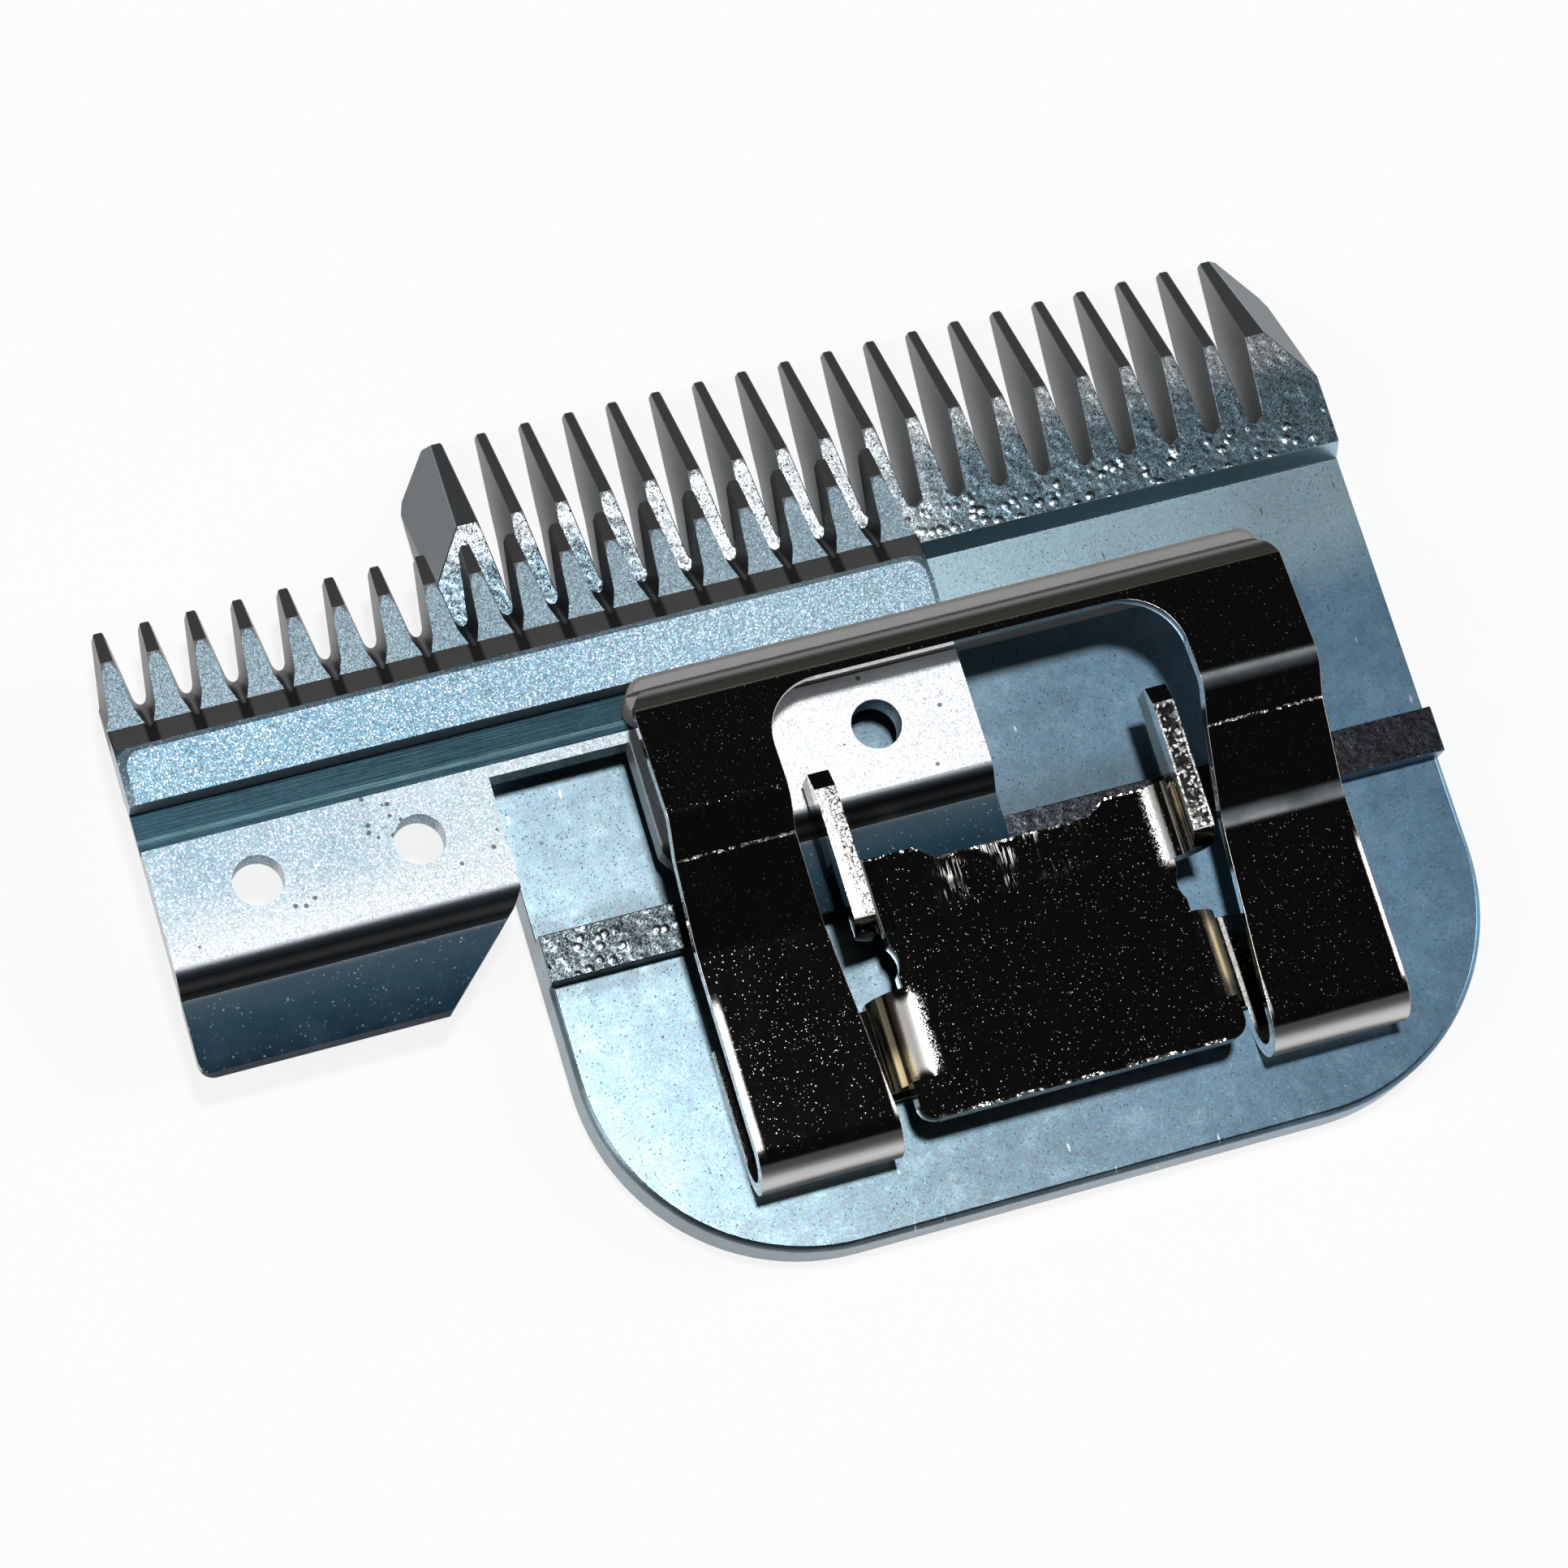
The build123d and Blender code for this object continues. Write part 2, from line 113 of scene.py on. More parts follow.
# one material, with places in millimetres and in the part's own frame
class Shader(Nodes):
    def __init__(self, name):
        self.material = bpy.data.materials.new(name)
        self.material.use_nodes = True
        super().__init__(self.material.node_tree)
        self.surface = self.tree.nodes["Principled BSDF"]

    def place(self):
        coords = self.node("ShaderNodeTexCoord")
        return self.scaled(coords.outputs["Object"], 1 / MM)

    def normal(self):
        return self.node("ShaderNodeNewGeometry").outputs["Normal"]

    # the normal of the flat face itself, without smooth shading
    def face(self):
        return self.node("ShaderNodeNewGeometry").outputs["True Normal"]

    # one of two normals
    def choose(self, factor, low, high):
        made = self.node("ShaderNodeMix", data_type="VECTOR")
        self.feed(made.inputs[0], factor)
        self.feed(made.inputs[4], low)
        self.feed(made.inputs[5], high)
        return made.outputs[1]

    def blend(self, factor, low, high):
        made = self.node("ShaderNodeMix", data_type="RGBA")
        self.feed(made.inputs[0], factor)
        for socket, colour in ((made.inputs[6], low), (made.inputs[7], high)):
            self.feed(socket, (*colour, 1) if isinstance(colour, tuple) else colour)
        return made.outputs[2]

    # colours that follow a value, given as (value, colour) in rising order
    def follow(self, value, *stops):
        low, high = stops[0][0], stops[-1][0]
        made = self.node("ShaderNodeValToRGB")
        self.feed(made.inputs[0], self.line(value, low, high))
        points = made.color_ramp.elements
        points[0].color = (*stops[0][1], 1)
        points[1].color = (*stops[-1][1], 1)
        for at, colour in stops[1:-1]:
            points.new((at - low) / (high - low)).color = (*colour, 1)
        return made.outputs[0]

    def stretched(self, place, factors):
        return self.vector("MULTIPLY", place, factors)

    # noise with features of the given size
    def noise(self, place, size, detail=2.0, rough=0.5):
        made = self.node("ShaderNodeTexNoise")
        self.feed(made.inputs["Vector"], place)
        made.inputs["Scale"].default_value = 1 / size
        made.inputs["Detail"].default_value = detail
        made.inputs["Roughness"].default_value = rough
        return made.outputs[0]

    def voronoi(self, place, size, feature):
        made = self.node("ShaderNodeTexVoronoi", feature=feature)
        self.feed(made.inputs["Vector"], place)
        made.inputs["Scale"].default_value = 1 / size
        return made.outputs

    # random cells of the given size: a colour for each, and the distance from its middle
    def cells(self, place, size):
        made = self.voronoi(place, size, "F1")
        return made["Color"], made["Distance"]

    # distance from the borders between the same cells
    def borders(self, place, size):
        return self.voronoi(place, size, "DISTANCE_TO_EDGE")["Distance"]

    # tilts the normal at random from grain to grain, which makes metal sparkle
    def sparkle(self, normal, colour, tilt):
        lean = self.scaled(self.vector("SUBTRACT", colour, (0.5, 0.5, 0.5)), tilt)
        return self.vector("NORMALIZE", self.vector("ADD", normal, lean))

    def bump(self, height, distance, normal=None):
        made = self.node("ShaderNodeBump")
        made.inputs["Distance"].default_value = distance
        self.feed(made.inputs["Height"], height)
        if normal is not None:
            self.feed(made.inputs["Normal"], normal)
        return made.outputs[0]

    def finish(self, colour, roughness, normal, metallic):
        self.feed(self.surface.inputs["Base Color"], colour)
        self.feed(self.surface.inputs["Roughness"], roughness)
        self.feed(self.surface.inputs["Normal"], normal)
        self.surface.inputs["Metallic"].default_value = metallic
        return self.material


# how far a face looks up, as the range of its normal's upward part
LEVEL = (0.93, 0.98)
UPWARD = (0.5, 0.7)
LEANING = (0.3, 0.5)

# how far a sharp mask reaches past its line, in millimetres
SHARP = 0.02

# bare ground steel, on the sloped tips of both rows of teeth
GROUND_GREY = (0.13, 0.133, 0.137)


# 1 on the part of a tooth's top that lies before a rounded line across it
def rounded_tip(s, across, pitch, along, at):
    bow = 4.0
    aside = s.math("WRAP", across, -pitch / 2, pitch / 2)
    bowed = s.math("ADD", along, s.product(aside, aside, bow))
    return s.step(bowed, at - 0.06, at + 0.02)


# places on the comb, in millimetres
LAP = 4.1
FRONT_RAIL_REAR = 12.3
REAR_RAIL_FRONT = -2.6
TOOTH_ROOT = 14.0
TOOTH_SLOPE = 18.95
END_TOOTH = 21
COMB_PITCH = 2.36
BED_SHEEN_STRIP = (4, 9)
BED_REAR_SHADE = (-14, -20)
BEADED_STRIP = (12, 13.7)

# colours of its lower bed, from left to right, with a painted sheen in front, and painted shade
# behind and beside other parts
BED_LEFT = ((0.125, 0.188, 0.222), (0.185, 0.254, 0.288))
BED_RIGHT = ((0.106, 0.23, 0.36), (0.165, 0.32, 0.47))
BED_FINE = (0.12, 0.19, 0.25)
BED_FRONT_SHEEN = (0.365, 0.525, 0.61)
BED_PAINTED_SHADE = (0.06, 0.09, 0.11)
BED_RAIL_SHADE = (0.07, 0.095, 0.11)
BED_WINDOW_SHADE = (0.045, 0.07, 0.085)
PATCH_DARK = (0.065, 0.105, 0.14)
PATCH_LIGHT = (0.29, 0.40, 0.47)
NICK_LIGHT = (0.62, 0.70, 0.75)
NICK_DARK = (0.04, 0.055, 0.065)

# colours of its lapped rails and its teeth, with painted highlights, and the rear rail painted lit
# at the left and shaded at the right
LAP_DARK = (0.22, 0.32, 0.385)
LAP_TIPS = (0.75, 0.82, 0.85)
LAP_HIGHLIGHT = (0.72, 0.78, 0.81)
RAIL_RIGHT_SHADE = (0.06, 0.065, 0.075)
RAIL_LEFT_LIT = (0.075, 0.092, 0.102)
FLANK_TIP = (0.22, 0.225, 0.23)
FLANK_ROOT = (0.3, 0.31, 0.315)
LAP_BEAD_HIGHLIGHT = (0.78, 0.84, 0.87)
RAIL_BEAD_HIGHLIGHT = (0.42, 0.46, 0.48)


def comb_steel():
    s = Shader("comb_steel")
    place = s.place()
    x, y, z = s.split(place)
    face = s.face()
    nx, _, nz = s.split(face)
    aside = s.math("ABSOLUTE", nx)
    flat = s.step(y, FRONT_RAIL_REAR - SHARP, FRONT_RAIL_REAR)
    normal = s.choose(flat, s.normal(), face)
    lap = s.product(s.step(nz, *LEVEL), s.step(z, LAP - 0.08, LAP - 0.04))
    rail = s.product(lap, s.step(y, REAR_RAIL_FRONT + 1, REAR_RAIL_FRONT + 0.5))
    teeth = s.step(y, TOOTH_ROOT, TOOTH_ROOT + 0.2)
    flank = s.product(teeth, s.step(aside, 0.45, 0.7))
    slim = s.step(s.math("ABSOLUTE", x), END_TOOTH + 0.2, END_TOOTH)
    tip = s.product(lap, rounded_tip(s, x, COMB_PITCH, y, TOOTH_SLOPE), slim)
    slope = s.product(teeth, s.step(aside, 0.45, 0.2), s.step(nz, 0.95, 0.9))
    slope = s.most(slope, tip)
    ground = s.most(flank, slope)
    # satin bed, bluer to the right, with a painted sheen as a bright strip in front and painted
    # shade at the dark rear
    cloud = s.noise(place, size=7, detail=4, rough=0.55)
    fine = s.noise(place, size=0.5, detail=3, rough=0.6)
    colour, _ = s.cells(place, size=0.07)
    chance = s.split(colour)[1]
    sheen_strip = s.step(y, *BED_SHEEN_STRIP)
    base = s.blend(s.step(x, -14, 22), s.blend(cloud, *BED_LEFT), s.blend(cloud, *BED_RIGHT))
    base = s.blend(s.product(fine, 0.4), base, BED_FINE)
    base = s.blend(sheen_strip, base, BED_FRONT_SHEEN)
    base = s.blend(s.product(s.step(y, *BED_REAR_SHADE), 0.3), base, BED_PAINTED_SHADE)
    # small patches, and short light and dark nicks that lie front to rear
    mottle = s.noise(place, size=1.1, detail=4, rough=0.7)
    patchy = s.other(sheen_strip)
    base = s.blend(s.product(s.step(mottle, 0.48, 0.7), patchy, 0.32), base, PATCH_DARK)
    base = s.blend(s.product(s.step(mottle, 0.5, 0.3), patchy, 0.28), base, PATCH_LIGHT)
    kind, reach = s.cells(s.stretched(place, (4.5, 1.1, 1)), size=1)
    pick = s.split(kind)[0]
    thin = s.step(reach, 0.32, 0.16)
    base = s.blend(s.product(thin, s.step(pick, 0.984, 0.988)), base, NICK_LIGHT)
    base = s.blend(s.product(thin, s.step(pick, 0.016, 0.012), 0.7), base, NICK_DARK)
    # painted shade, darker along both sides of the rear rail at the left, and in the spring's
    # window
    rail_shade = s.most(s.band(y, -2.7, -2.0, soft=1.0), s.band(y, -5.6, -5.0, soft=0.7))
    rail_shade = s.product(rail_shade, s.step(x, -14, -20), s.step(mottle, 0.3, 0.55), 0.6)
    base = s.blend(rail_shade, base, BED_RAIL_SHADE)
    window_shade = s.product(s.band(x, -1, 9, soft=1), s.band(y, -4, -2.2, soft=3), 0.6)
    base = s.blend(window_shade, base, BED_WINDOW_SHADE)
    base = s.blend(0.05, base, colour)
    # hammered lap, with a painted highlight brightest in the middle; the rear rail is painted lit
    # at the left only
    glow = s.band(x, -9, -3, soft=8)
    dark = s.blend(s.step(y, 16, 18.5), LAP_DARK, LAP_TIPS)
    base = s.blend(lap, base, s.blend(glow, dark, LAP_HIGHLIGHT))
    base = s.blend(rail, base, s.blend(s.step(x, 4, -8), RAIL_RIGHT_SHADE, RAIL_LEFT_LIT))
    base = s.blend(flank, base, s.blend(s.step(y, 19, 15), FLANK_TIP, FLANK_ROOT))
    base = s.blend(slope, base, GROUND_GREY)
    rough = s.mix(lap, s.mix(cloud, 0.27, 0.34), s.mix(glow, 0.26, 0.32))
    rough = s.mix(ground, rough, 0.5)
    # round beads of the lap, with a painted highlight on top
    kind, reach = s.cells(place, size=0.6)
    bead = s.product(s.step(reach, 0.5, 0.1), s.step(s.split(kind)[0], 0.25, 0.35))
    beaded = s.most(s.product(rail, s.step(x, 6, -4)), s.band(y, *BEADED_STRIP, soft=0.9))
    bead = s.product(bead, beaded)
    bead_highlight = s.blend(rail, LAP_BEAD_HIGHLIGHT, RAIL_BEAD_HIGHLIGHT)
    base = s.blend(s.product(lap, s.step(bead, 0.55, 0.9)), base, bead_highlight)
    # grain, small bumps of the lap, and grinding lines of the flanks
    rare = s.step(chance, 0.955, 0.96)
    many = s.step(chance, 0.86, 0.98)
    tilt = s.mix(lap, s.mix(rare, 0.025, 0.13), s.mix(many, 0.08, 0.5))
    grain = s.sparkle(normal, colour, s.mix(ground, tilt, 0.02))
    bumps = s.product(s.noise(place, size=0.75, detail=1.0), 0.45)
    lumps = s.math("ADD", bumps, s.product(bead, s.mix(rail, 0.5, 0.3)))
    lumps = s.product(lap, lumps, s.mix(glow, 1, 0.6))
    grind = s.noise(s.stretched(place, (3, 3, 0.35)), size=0.3)
    height = s.math("ADD", lumps, s.product(flank, grind, 0.06))
    return s.finish(base, rough, s.bump(height, 0.08 * MM, grain), 1.0)


# places on the cutter, in millimetres
CUTTER_PITCH = 2.372
CUTTER_MIDDLE = -20.8
FACET_FRONT = 16.05
FACET_REAR = 12.4
BODY_FRONT = 11.2
BODY_TOP = 6.62
GROOVE = (5.93, 8.17)
GROOVE_STREAK = (6.6, 6.75)
FLANGE_REAR = -0.15
FOOT_FRONT = -1.6
FOOT_REAR = -5.4

# colours of its body, facets, flange and groove, among them painted sheen, shade, shadow, light
# and glints
BODY_BLUE = ((0.075, 0.17, 0.23), (0.145, 0.245, 0.30))
BODY_FINE = (0.06, 0.14, 0.195)
BODY_RIGHT = (0.25, 0.36, 0.42)
FACET_BLUE = ((0.36, 0.56, 0.68), (0.54, 0.70, 0.78))
FLANGE_LEFT = ((0.15, 0.255, 0.325), (0.27, 0.36, 0.41))
FLANGE_MIDDLE = (0.36, 0.43, 0.46)
FLANGE_BEND_SHEEN = (0.44, 0.475, 0.49)
FLANGE_RIGHT = (0.72, 0.74, 0.75)
FLANGE_PIT = (0.03, 0.035, 0.04)
GROOVE_FLOOR_SHADE = ((0.012, 0.028, 0.04), (0.024, 0.052, 0.068))
GROOVE_STREAK_SHEEN = (0.07, 0.125, 0.15)
GROOVE_WALL = (0.4, 0.5, 0.55)
TOOTH_TIP = (0.26, 0.262, 0.265)
LEDGE = (0.36, 0.36, 0.36)
LEDGE_GAP_SHADOW = (0.08, 0.08, 0.08)
BODY_END_LIT = (0.5, 0.51, 0.52)
FLAKE_GLINT = (0.62, 0.68, 0.72)

# painted reflections on the bend behind the flange, and the foot's colours, darker toward its
# rear, by place along the cutter
BEND_PAINTED_REFLECTIONS = (
    (-1.95, (0.035, 0.05, 0.065)),
    (-1.6, (0.08, 0.09, 0.10)),
    (-1.35, (0.02, 0.024, 0.028)),
    (-1.1, (0.10, 0.10, 0.105)),
    (-0.8, (0.022, 0.027, 0.033)),
    (-0.45, (0.10, 0.115, 0.13)),
    (-0.1, (0.35, 0.37, 0.38)),
)
FOOT_SHADES = (
    (FOOT_REAR, (0.006, 0.016, 0.027)),
    (-3.2, (0.016, 0.040, 0.062)),
    (-1.9, (0.045, 0.07, 0.088)),
)
FOOT_CLOUD = (0.03, 0.055, 0.08)


def cutter_steel():
    s = Shader("cutter_steel")
    place = s.place()
    x, y, z = s.split(place)
    face = s.face()
    nx, _, nz = s.split(face)
    front = s.step(y, BODY_FRONT - SHARP, BODY_FRONT + SHARP)
    normal = s.choose(front, s.normal(), face)
    flange = s.product(s.step(nz, *LEVEL), s.band(y, FLANGE_REAR, GROOVE[0], soft=0.1))
    groove = s.band(y, GROOVE[0] - SHARP, GROOVE[1] + SHARP, soft=0.01)
    groove = s.product(groove, s.step(z, BODY_TOP, BODY_TOP - 0.05))
    wall = s.product(groove, s.step(nz, 0.6, 0.4))
    bend = s.step(y, FLANGE_REAR + 0.05, FLANGE_REAR - 0.1)
    foot = s.step(y, FOOT_FRONT + 0.1, FOOT_FRONT - 0.3)
    facet = s.product(s.step(y, FACET_REAR - 0.1, FACET_REAR), s.step(nz, 0.975, 0.985))
    from_tooth = s.math("SUBTRACT", x, CUTTER_MIDDLE + CUTTER_PITCH / 2)
    tip = rounded_tip(s, from_tooth, CUTTER_PITCH, y, FACET_FRONT)
    facet = s.product(facet, s.other(tip))
    ground = s.product(front, s.other(facet))
    aside = s.math("ABSOLUTE", nx)
    lit_ends = s.product(s.step(aside, 0.8, 0.95), s.step(y, BODY_FRONT + 1, BODY_FRONT))
    # blue body and facets, and a flange that pales to the right and has a painted sheen near its
    # bend
    cloud = s.noise(place, size=5, detail=4, rough=0.55)
    fine = s.noise(place, size=0.35, detail=3, rough=0.6)
    colour, _ = s.cells(place, size=0.065)
    rare = s.step(s.split(colour)[1], 0.93, 0.94)
    base = s.blend(cloud, *BODY_BLUE)
    base = s.blend(s.product(fine, 0.45), base, BODY_FINE)
    base = s.blend(s.product(s.step(x, -30, -6), 0.6), base, BODY_RIGHT)
    base = s.blend(facet, base, s.blend(cloud, *FACET_BLUE))
    pale = s.blend(s.step(cloud, 0.3, 0.7), *FLANGE_LEFT)
    pale = s.blend(s.step(x, -40, -24), pale, FLANGE_MIDDLE)
    pale = s.blend(s.step(y, 3.5, 0), pale, FLANGE_BEND_SHEEN)
    base = s.blend(flange, base, s.blend(s.step(x, -20, -8), pale, FLANGE_RIGHT))
    # rolled bend with painted reflections, navy foot, and groove with painted shade and a painted
    # sheen streak
    base = s.blend(bend, base, s.follow(y, *BEND_PAINTED_REFLECTIONS))
    navy = s.blend(s.step(cloud, 0.4, 0.8), s.follow(y, *FOOT_SHADES), FOOT_CLOUD)
    base = s.blend(foot, base, navy)
    base = s.blend(groove, base, s.blend(fine, *GROOVE_FLOOR_SHADE))
    streak = s.product(groove, s.band(y, *GROOVE_STREAK, soft=0.1), 0.6)
    base = s.blend(streak, base, GROOVE_STREAK_SHEEN)
    base = s.blend(wall, base, GROOVE_WALL)
    # ground flanks, and the ledge with painted shadow as dark gaps behind the teeth
    base = s.blend(ground, base, s.blend(s.step(y, 13.0, 15.2), GROUND_GREY, TOOTH_TIP))
    gap = s.math("ABSOLUTE", s.math("WRAP", from_tooth, CUTTER_PITCH / 2, -CUTTER_PITCH / 2))
    gap = s.step(gap, CUTTER_PITCH / 2 - 0.42, CUTTER_PITCH / 2 - 0.2)
    ledge = s.product(front, s.step(y, FACET_REAR + SHARP, FACET_REAR - SHARP))
    base = s.blend(ledge, base, s.blend(gap, LEDGE, LEDGE_GAP_SHADOW))
    # painted light on the end faces of the body
    base = s.blend(lit_ends, base, BODY_END_LIT)
    # flakes and a few sparks on the foot, painted light as glints
    plain = s.most(groove, ground, bend)
    base = s.blend(s.mix(plain, 0.06, 0.0), base, colour)
    flake, _ = s.cells(place, size=0.075)
    glint = s.split(flake)[2]
    painted_glint = s.blend(0.25, FLAKE_GLINT, flake)
    share = s.mix(plain, s.mix(facet, 0.7, 0.35), 0.0)
    base = s.blend(s.product(s.step(glint, 0.78, 0.84), share), base, painted_glint)
    spark = s.product(foot, s.step(glint, 0.95, 1.0), s.step(fine, 0.45, 0.6))
    base = s.blend(s.product(spark, 0.3), base, painted_glint)
    # small pits in clusters on the flange
    _, reach = s.cells(place, size=0.55)
    cluster = s.step(s.noise(place, size=3.2, detail=1), 0.62, 0.66)
    pits = s.product(flange, cluster, s.step(reach, 0.26, 0.2))
    base = s.blend(s.product(pits, 0.8), base, FLANGE_PIT)
    # shine, grain, and lines along the groove
    rough = s.mix(flange, 0.42, 0.5)
    rough = s.mix(bend, rough, 0.5)
    rough = s.mix(foot, rough, 0.6)
    rough = s.mix(groove, rough, s.mix(wall, 0.42, 0.55))
    tilt = s.mix(bend, s.mix(rare, 0.13, 0.22), 0.04)
    grain = s.sparkle(normal, colour, s.mix(s.most(groove, ground), tilt, 0.04))
    lines = s.noise(s.stretched(place, (0.06, 4, 4)), size=0.3)
    return s.finish(base, rough, s.bump(s.product(groove, lines), 0.02 * MM, grain), 1.0)


# bright nickel plate, and its specks as (size, chance above which a grain is one)
NICKEL = ((0.58, 0.57, 0.55), (0.65, 0.635, 0.61))
NICKEL_SPECKS = ((0.045, 0.998), (0.08, 1.0185))


# plate's colour, its shine with dull specks that show as bright points, and its patches
def nickel(s, place):
    patch = s.noise(place, size=2.5, detail=3)
    base = s.blend(patch, *NICKEL)
    smear = s.noise(s.stretched(place, (1, 0.3, 1)), size=1.5, detail=3)
    rough = s.mix(smear, 0.03, 0.055)
    thick = s.math("MULTIPLY", patch, 0.03)
    for size, limit in NICKEL_SPECKS:
        chance, dull, _ = s.split(s.cells(place, size)[0])
        specks = s.step(s.math("ADD", chance, thick), limit, limit + 0.003)
        rough = s.mix(specks, rough, s.mix(dull, 0.06, 0.3))
    return base, rough, patch


# places on the spring, in millimetres
HAIRPIN = -16.9
CREASE = -1.77
ARM_IN = 9.8
ARM_OUT = 17.15
ARM_BENDS = ((-6.5, -6.0), (-0.1, 0.4))
ARM_WEAR = (-15.8, -9.5)

# colours of the painted sheen on the right arm's bends
ARM_PAINTED_SHEEN = ((0.13, 0.145, 0.155), (0.26, 0.29, 0.31))
HAIRPIN_BACK = ((0.50, 0.495, 0.48), (0.70, 0.69, 0.675))

# painted shading of the lip, by the forward part of its normal
LIP_PAINTED_SHADING = (
    (0.1, (0.012, 0.01, 0.007)),
    (0.3, (0.12, 0.11, 0.092)),
    (0.5, (0.22, 0.217, 0.21)),
    (0.9, (0.25, 0.25, 0.245)),
)

# how the worn outer rim of the right arm leans inward
RIM_LEAN = (-0.1, -0.05, 0)


def spring_nickel():
    s = Shader("spring_nickel")
    place = s.place()
    x, y, _ = s.split(place)
    normal = s.normal()
    nx, ny, nz = s.split(normal)
    base, rough, patch = nickel(s, place)
    # painted sheen on the bends of the right arm, softened by rougher plate, patchy in its colour
    bend = s.most(*(s.band(y, *zone, soft=0.45) for zone in ARM_BENDS))
    bend = s.product(bend, s.step(nz, 0.7, 0.8), s.step(x, 8, 9.5))
    base = s.blend(bend, base, s.blend(s.step(patch, 0.3, 0.6), *ARM_PAINTED_SHEEN))
    rough = s.mix(bend, rough, 0.3)
    # bright worn edges along the rear half of the arms, widest at the far left
    wide = s.math("ABSOLUTE", x)
    inner = s.band(wide, ARM_IN, ARM_IN + 0.15, soft=0.12)
    outer = s.step(wide, ARM_OUT - 0.3, ARM_OUT - 0.15)
    worn = s.most(inner, outer, s.step(x, 0.55 - ARM_OUT, 0.25 - ARM_OUT))
    grit = s.split(s.cells(place, size=0.05)[0])[0]
    worn = s.product(worn, s.band(y, *ARM_WEAR, soft=1.5), s.step(nz, *UPWARD))
    worn = s.product(worn, s.mix(grit, 0.6, 1))
    rough = s.mix(worn, rough, s.mix(s.step(x, -4, 4), 0.32, 0.36))
    # the sharp crease glints along its length
    crease = s.product(s.band(y, CREASE - 0.05, CREASE + 0.05, soft=0.04), s.step(nz, *LEANING))
    crease = s.product(crease, s.step(s.noise(place, size=0.22, detail=1), 0.42, 0.6))
    rough = s.mix(crease, rough, 0.3)
    # rolled side edges, the lip's painted shading, and the brushed backs of the rear bends
    rolled = s.step(s.math("ABSOLUTE", nx), 0.02, 0.08)
    rough = s.mix(s.product(rolled, s.step(nz, *LEANING)), rough, 0.32)
    lip = s.step(ny, 0.1, 0.2)
    base = s.blend(lip, base, s.follow(ny, *LIP_PAINTED_SHADING))
    rough = s.mix(lip, rough, s.mix(s.step(ny, 0.3, 0.6), 0.5, 0.33))
    turn = s.product(s.step(y, HAIRPIN, HAIRPIN - 0.3), s.step(ny, -0.3, -0.5))
    brushed = s.noise(s.stretched(place, (0.08, 3, 3)), size=0.25)
    base = s.blend(turn, base, s.blend(brushed, *HAIRPIN_BACK))
    rough = s.mix(turn, rough, 0.35)
    rim = s.product(worn, s.step(x, ARM_OUT - 0.4, ARM_OUT - 0.3))
    normal = s.vector("ADD", normal, s.scaled(RIM_LEAN, rim))
    grain = s.sparkle(normal, s.cells(place, size=0.1)[0], s.product(crease, 1.1))
    return s.finish(base, rough, grain, 1.0)


# places on the socket, in millimetres
EAR_TOP = 8.97
EAR_REAR = -7.5
EAR_OUT = 9.5
EAR_IN = 8.4
FLAT_HALF = 7.1
PLATE_FRONT = -3.6
PLATE_REAR = -17.1
PLATE_MIDDLE = (4.1, 5.05)
MIDDLE_SET_BACK = 0.75

# painted dark reflection and warm reflections on the socket's sides
SIDE_PAINTED_DARK = (0.16, 0.135, 0.09)
SIDE_WARM_REFLECTION = (0.82, 0.66, 0.38)
CRACK = (0.03, 0.03, 0.03)
# painted light on the ear tops: lit at the left, glints at the right
BROKEN_LEFT_LIT = (0.92, 0.91, 0.9)
BROKEN_RIGHT_GLINTS = ((0.02, 0.02, 0.02), (1, 1, 1))


